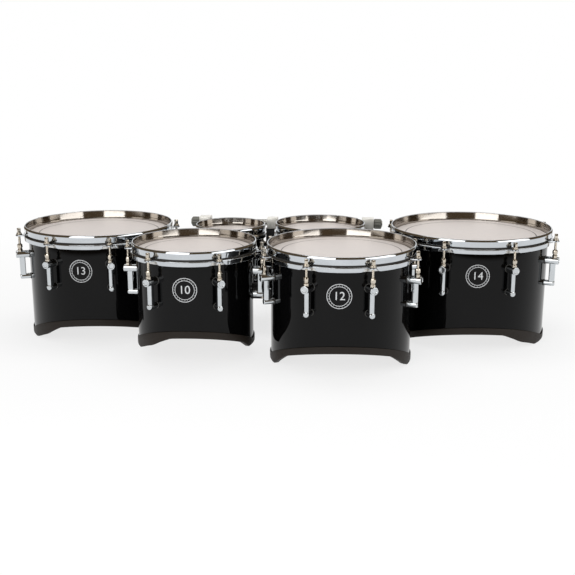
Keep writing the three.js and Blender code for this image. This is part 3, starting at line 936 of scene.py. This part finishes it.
class TENORS_OT_tension_rods(Build, bpy.types.Operator):
    """Tension rods with square key heads and two washers each"""

    bl_idname = "tenors.tension_rods"
    bl_label = "Tension rods"

    def build(self):
        rod_foot, rod_top = -54 * MM, -19.3 * MM
        for drum in drums():
            out = (0, -(drum.radius + sizes().rod_out), 0)
            rod = painted(spun(filleted([
                (0, rod_foot, 0), (2.7 * MM, rod_foot, 0.4 * MM), (2.7 * MM, rod_top, 0),
                (0, rod_top, 0),
            ]), 20), 1)
            collar = spun(filleted([
                (0, -17.3 * MM, 0), (6.0 * MM, -17.3 * MM, 0.4 * MM),
                (6.0 * MM, -15.0 * MM, 1.0 * MM), (0, -13.6 * MM, 0),
            ]), 28)
            half = 3.5 * MM
            key = block((-half, -half, -15 * MM), (half, half, -4 * MM), 0.7 * MM)
            turned(key, 20, "Z")
            steel = spun(filleted([
                (2.9 * MM, -18.7 * MM, 0), (6.7 * MM, -18.7 * MM, 0.3 * MM),
                (6.7 * MM, -17.3 * MM, 0.4 * MM), (2.9 * MM, -17.3 * MM, 0),
            ]), 28)
            soft = painted(spun(filleted([
                (2.9 * MM, -19.9 * MM, 0), (7.2 * MM, -19.9 * MM, 0.3 * MM),
                (7.2 * MM, -18.8 * MM, 0.3 * MM), (2.9 * MM, -18.8 * MM, 0),
            ]), 28), 2)
            shape = moved(together([rod, collar, key, steel, soft]), out)
            finished(
                f"{drum.name}_tension_rods", drum.put(around(shape, drum.bearings)),
                (plated, threaded, fibre),
            )


class TENORS_OT_badges(Build, bpy.types.Operator):
    """Plain printed rings with the drum's size in inches, on the four large shells"""

    bl_idname = "tenors.badges"
    bl_label = "Size badges"

    def build(self):
        for drum in drums():
            if drum.arch:
                finished(
                    f"{drum.name}_size_badge", drum.put(self.badge(drum)), (badge_print,),
                    crease=60,
                )

    def badge(self, drum):
        radius = sizes().badge_radius
        shapes = [
            self.ring(radius, radius - 1.3 * MM), self.ring(radius * 0.80, radius * 0.76),
            self.number(drum.inches, radius * 0.95),
        ]
        for step in range(24):
            tick = block((-0.35 * MM, 0, radius * 0.83), (0.35 * MM, 0.4 * MM, radius * 0.91))
            shapes.append(turned(tick, step * 15, "Y"))
        shape = together(shapes)
        for corner in shape.verts:
            bearing = corner.co.x / drum.radius
            out = drum.radius + 0.3 * MM - corner.co.y
            corner.co = Vector((
                out * math.sin(bearing), -out * math.cos(bearing),
                corner.co.z - sizes().badge_drop,
            ))
        return shape

    def ring(self, outer, inner):
        shape = spun([(outer, 0), (outer, 0.4 * MM), (inner, 0.4 * MM), (inner, 0)], 64)
        return turned(shape, -90, "X")

    def number(self, value, height):
        words = bpy.data.curves.new("number", "FONT")
        words.body = str(value)
        words.size = height
        words.align_x = "CENTER"
        words.align_y = "CENTER"
        words.extrude = 0.2 * MM
        carrier = bpy.data.objects.new("number", words)
        bpy.context.scene.collection.objects.link(carrier)
        bpy.context.view_layer.update()
        shown = carrier.evaluated_get(bpy.context.evaluated_depsgraph_get())
        skin = bpy.data.meshes.new_from_object(shown)
        shape = bmesh.new()
        shape.from_mesh(skin)
        bpy.data.objects.remove(carrier)
        bpy.data.curves.remove(words)
        bpy.data.meshes.remove(skin)
        bmesh.ops.remove_doubles(shape, verts=shape.verts, dist=MERGE)
        turned(shape, 90, "X")
        return moved(shape, (0, 0.2 * MM, 0))


class TENORS_OT_frame_bars(Build, bpy.types.Operator):
    """Spine, spacers and carrier arm, powder coated"""

    bl_idname = "tenors.frame_bars"
    bl_label = "Spine, spacers and arm"

    def build(self):
        for part in ["spine", "carrier_arm"] + [f"{row[0]}_spacer" for row in DRUM_ROWS]:
            rounding = sizes().edge_round if "spacer" not in part else sizes().edge_round / 2
            finished(
                f"{part}_bar", softened(part, rounding), (powder_coat,),
                stands_for=(part,),
            )


class TENORS_OT_bolts(Build, bpy.types.Operator):
    """Hexagon bolts that hold the shells, the arm and the centre clamp"""

    bl_idname = "tenors.bolts"
    bl_label = "Bolts"

    def build(self):
        for name in sorted(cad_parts):
            if "_bolt_" in name:
                finished(
                    f"{name}_steel", softened(name, 0.5 * MM, 40), (plated,),
                    stands_for=(name,),
                )


class TENORS_OT_rear_bar(Build, bpy.types.Operator):
    """Brushed metal bar behind the small drums, with a plug in each end"""

    bl_idname = "tenors.rear_bar"
    bl_label = "Rear bar"

    def build(self):
        low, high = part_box("rear_bar")
        radius = (high.z - low.z) / 2
        plug = radius * 0.72
        sunk = 0.5 * MM
        tube = spun(filleted([
            (0, low.x + sunk, 0), (plug, low.x + sunk, 0),
            (radius * 0.78, low.x, 0.5 * MM), (radius, low.x, 1.0 * MM),
            (radius, high.x, 1.0 * MM), (radius * 0.78, high.x, 0.5 * MM),
            (plug, high.x - sunk, 0), (0, high.x - sunk, 0),
        ]), 48)
        for face in tube.faces:
            face.material_index = 1 if face.calc_center_median().xy.length < plug else 0
        turned(tube, 90, "Y")
        moved(tube, (0, (low.y + high.y) / 2, (low.z + high.z) / 2))
        finished(
            "rear_tube", tube, (brushed, moulded), stands_for=("rear_bar",),
        )


class TENORS_OT_clamps(Build, bpy.types.Operator):
    """Centre clamp, and the two clamps that slide on the bar"""

    bl_idname = "tenors.clamps"
    bl_label = "Clamps"

    def build(self):
        for part, body in (
            ("centre_clamp", "root"), ("side_clamp_left", "clamp_left"),
            ("side_clamp_right", "clamp_right"),
        ):
            finished(
                f"{part}_block", softened(part, 1.6 * MM, 40), (cast_metal,),
                body=body, stands_for=(part,),
            )


class TENORS_OT_knobs(Build, bpy.types.Operator):
    """Fluted knobs that lock the side clamps"""

    bl_idname = "tenors.knobs"
    bl_label = "Clamp knobs"

    def build(self):
        for side in ("left", "right"):
            part = f"clamp_knob_{side}"
            low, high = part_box(part)
            radius = (high.z - low.z) / 2
            bore = 8.5 * MM
            shape = spun(filleted([
                (bore, low.x, 0.4 * MM), (radius * 0.82, low.x, 1.0 * MM),
                (radius, low.x + 2.4 * MM, 1.6 * MM), (radius, high.x - 2.4 * MM, 1.6 * MM),
                (radius * 0.82, high.x, 1.0 * MM), (bore, high.x, 0.4 * MM),
            ]), 120)
            for corner in shape.verts:
                flute = 0.5 + 0.5 * math.cos(10 * math.atan2(corner.co.y, corner.co.x))
                out = corner.co.xy.length
                if out > radius * 0.7:
                    corner.co.xy *= 1 - 0.13 * flute ** 2
            turned(shape, 90, "Y")
            moved(shape, (0, (low.y + high.y) / 2, (low.z + high.z) / 2))
            finished(
                f"fluted_knob_{side}", shape, (moulded,), body=f"knob_{side}",
                stands_for=(part,), crease=50,
            )


class TENORS_OT_stage(Build, bpy.types.Operator):
    """Pale floor, soft studio light and the camera at the photograph's angle"""

    bl_idname = "tenors.stage"
    bl_label = "Stage"

    def build(self):
        self.floor()
        self.world()
        studio = bpy.context.scene.tenor_studio
        self.softbox("left_softbox", (-0.677, -1.814, 1.05), (1.49, 1.5), -45, studio.key)
        self.softbox("right_softbox", (2.401, -1.567, 1.05), (2.635, 1.5), 86.3, studio.fill)
        self.softbox("top_softbox", (0.0, 0.5, 2.6), (2.4, 1.2), None, studio.top)
        self.camera(studio.lens)

    def floor(self):
        shape = bmesh.new()
        bmesh.ops.create_grid(shape, x_segments=1, y_segments=1, size=30)
        bmesh.ops.translate(shape, vec=(0, 0, -0.2 * MM), verts=shape.verts)
        skin = bpy.data.meshes.new("floor")
        shape.to_mesh(skin)
        shape.free()
        piece = bpy.data.objects.new("floor", skin)
        bpy.context.scene.collection.objects.link(piece)

        def build(tree):
            path = node(tree, "ShaderNodeLightPath").outputs
            seen = node(tree, "ShaderNodeMath", {
                0: path["Is Camera Ray"], 1: path["Is Glossy Ray"],
            }, operation="MAXIMUM").outputs[0]
            place = node(tree, "ShaderNodeTexCoord").outputs["Object"]
            away = node(
                tree, "ShaderNodeVectorMath", {0: place}, operation="LENGTH").outputs["Value"]
            white = node(tree, "ShaderNodeMath", {
                0: ranged(tree, away, 0.7, 1.6, 0.75, 1.0), 1: seen,
            }, operation="MULTIPLY").outputs[0]
            back = node(tree, "ShaderNodeSeparateXYZ", {"Vector": place}).outputs["Y"]
            past = node(tree, "ShaderNodeMath", {
                0: ranged(tree, away, 2.4, 2.8), 1: ranged(tree, back, 1.05, 1.25),
            }, operation="MAXIMUM").outputs[0]
            far = node(tree, "ShaderNodeMath", {
                0: past, 1: path["Is Glossy Ray"],
            }, operation="MULTIPLY").outputs[0]
            room = bpy.context.scene.tenor_studio.room
            return {
                "Base Color": blended(tree, white, rgba((0.95, 0.95, 0.95)), (0, 0, 0, 1)),
                "Roughness": 0.9, "Specular IOR Level": 0.0,
                "Emission Color": blended(tree, far, (1, 1, 1, 1), rgba(room)),
                "Emission Strength": white,
            }

        skin.materials.append(finish("Pale floor", build))

    def world(self):
        world = bpy.data.worlds.new("Studio")
        world.use_nodes = True
        tree = world.node_tree
        tree.nodes.clear()
        way = node(tree, "ShaderNodeTexCoord").outputs["Generated"]
        axes = node(tree, "ShaderNodeSeparateXYZ", {"Vector": way}).outputs
        behind = ranged(tree, axes["Y"], 0.8, 0.95)
        low = ranged(tree, axes["Z"], 0.75, 0.35)
        white_part = node(
            tree, "ShaderNodeMath", {0: behind, 1: low}, operation="MULTIPLY").outputs[0]
        studio = bpy.context.scene.tenor_studio
        room = blended(tree, white_part, rgba(studio.room), (1, 1, 1, 1))
        path = node(tree, "ShaderNodeLightPath").outputs
        around_us = blended(tree, path["Is Glossy Ray"], rgba(studio.soft), room)
        light = node(tree, "ShaderNodeBackground", {
            "Color": blended(tree, path["Is Camera Ray"], around_us, (1, 1, 1, 1)),
            "Strength": 1.0,
        })
        out = tree.nodes.new("ShaderNodeOutputWorld")
        tree.links.new(light.outputs["Background"], out.inputs["Surface"])
        bpy.context.scene.world = world

    def softbox(self, name, place, size, turn, power):
        """A panel of light: upright and turned about Z, or else level above the set."""
        light = bpy.data.lights.new(name, "AREA")
        light.shape = "RECTANGLE"
        light.size, light.size_y = size
        light.energy = power
        lamp = bpy.data.objects.new(name, light)
        lamp.location = place
        if turn is not None:
            lamp.rotation_euler = (math.radians(90), 0, math.radians(turn))
        lamp.visible_camera = False
        bpy.context.scene.collection.objects.link(lamp)

    def camera(self, lens):
        view = bpy.data.cameras.new("photo_camera")
        view.sensor_width = 36
        view.lens = lens
        view.clip_start = 0.05
        view.clip_end = 100
        camera = bpy.data.objects.new("photo_camera", view)
        camera.location = (0.1759, -2.1072, 0.657)
        camera.rotation_euler = (math.radians(90 - 14.27), 0, math.radians(4.5))
        bpy.context.scene.collection.objects.link(camera)
        bpy.context.scene.camera = camera
        bpy.context.scene.view_settings.view_transform = "Standard"


STEPS = (
    TENORS_OT_shells, TENORS_OT_edge_guards, TENORS_OT_heads, TENORS_OT_hoops, TENORS_OT_lugs,
    TENORS_OT_tension_rods, TENORS_OT_badges, TENORS_OT_frame_bars, TENORS_OT_bolts,
    TENORS_OT_rear_bar, TENORS_OT_clamps, TENORS_OT_knobs, TENORS_OT_stage,
)


class TENORS_PT_panel(bpy.types.Panel):
    """Lists the steps that model the set"""

    bl_idname = "TENORS_PT_panel"
    bl_label = "Tenor Drums"
    bl_space_type = "VIEW_3D"
    bl_region_type = "UI"
    bl_category = "Tenor Drums"

    def draw(self, context):
        for step in STEPS:
            self.layout.operator(step.bl_idname)
        for settings in ("tenor_sizes", "tenor_colours", "tenor_studio"):
            box = self.layout.box()
            owner = getattr(context.scene, settings)
            for name in owner.bl_rna.properties.keys():
                if name not in ("rna_type", "name"):
                    box.prop(owner, name)


SETTINGS = (
    ("tenor_sizes", TenorSizes), ("tenor_colours", TenorColours), ("tenor_studio", TenorStudio),
)


def register():
    for name, kind in SETTINGS:
        bpy.utils.register_class(kind)
        setattr(bpy.types.Scene, name, PointerProperty(type=kind))
    for kind in STEPS + (TENORS_PT_panel,):
        bpy.utils.register_class(kind)


def unregister():
    for kind in reversed(STEPS + (TENORS_PT_panel,)):
        bpy.utils.unregister_class(kind)
    for name, kind in reversed(SETTINGS):
        delattr(bpy.types.Scene, name)
        bpy.utils.unregister_class(kind)


def main():
    register()
    for step in STEPS:
        area, action = step.bl_idname.split(".")
        getattr(getattr(bpy.ops, area), action)()


if __name__ == "__main__":
    main()
